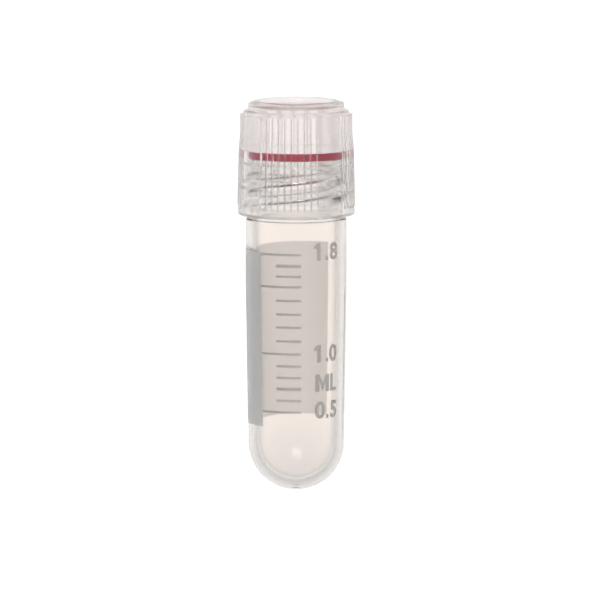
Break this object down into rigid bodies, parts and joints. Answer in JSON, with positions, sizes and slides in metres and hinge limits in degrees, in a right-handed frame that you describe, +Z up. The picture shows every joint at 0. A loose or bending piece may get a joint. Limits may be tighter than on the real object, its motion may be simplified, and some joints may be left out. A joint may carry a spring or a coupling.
{
  "type": "cryovial",
  "caption": "Round-bottom cryogenic sample tube of clear plastic, lying down, with a ribbed screw cap on an external thread and a red silicone sealing washer.",
  "frame": {"origin": "on the floor under the middle of the lying vial, centre of the bottom of its bounding box", "axes": "+Z up from the floor that the vial lies on, +Y along the vial towards its cap (its axis rises 2.59 degrees towards the cap), +X to the right seen from the round end"},
  "size_m": [0.0146, 0.0488, 0.0147],
  "materials": {
    "clear_polypropylene_tube": "natural translucent polypropylene, moulded smooth",
    "clear_polypropylene_cap": "natural translucent polypropylene, ribs smooth, grip panels lightly frosted",
    "red_silicone": "raspberry red silicone, satin"
  },
  "bodies": {
    "vial": {"vial_body": "clear_polypropylene_tube"},
    "washer": {"seal_washer": "red_silicone"},
    "cap": {"screw_cap": "clear_polypropylene_cap"}
  },
  "joints": [
    {"name": "cap_lift", "type": "slide", "parent": "vial", "child": "washer", "axis": [0, 0.999, 0.0451], "range_m": [0, 0.0086]},
    {"name": "cap_turn", "type": "hinge", "parent": "washer", "child": "cap", "pos_m": [0, 0.0136, 0.00739], "axis": [0, 0.999, 0.0451], "range_deg": [0, 720]}
  ],
  "couplings": [
    {"joint": "cap_turn", "follows": "cap_lift", "rad_per_m": 1461.2}
  ]
}
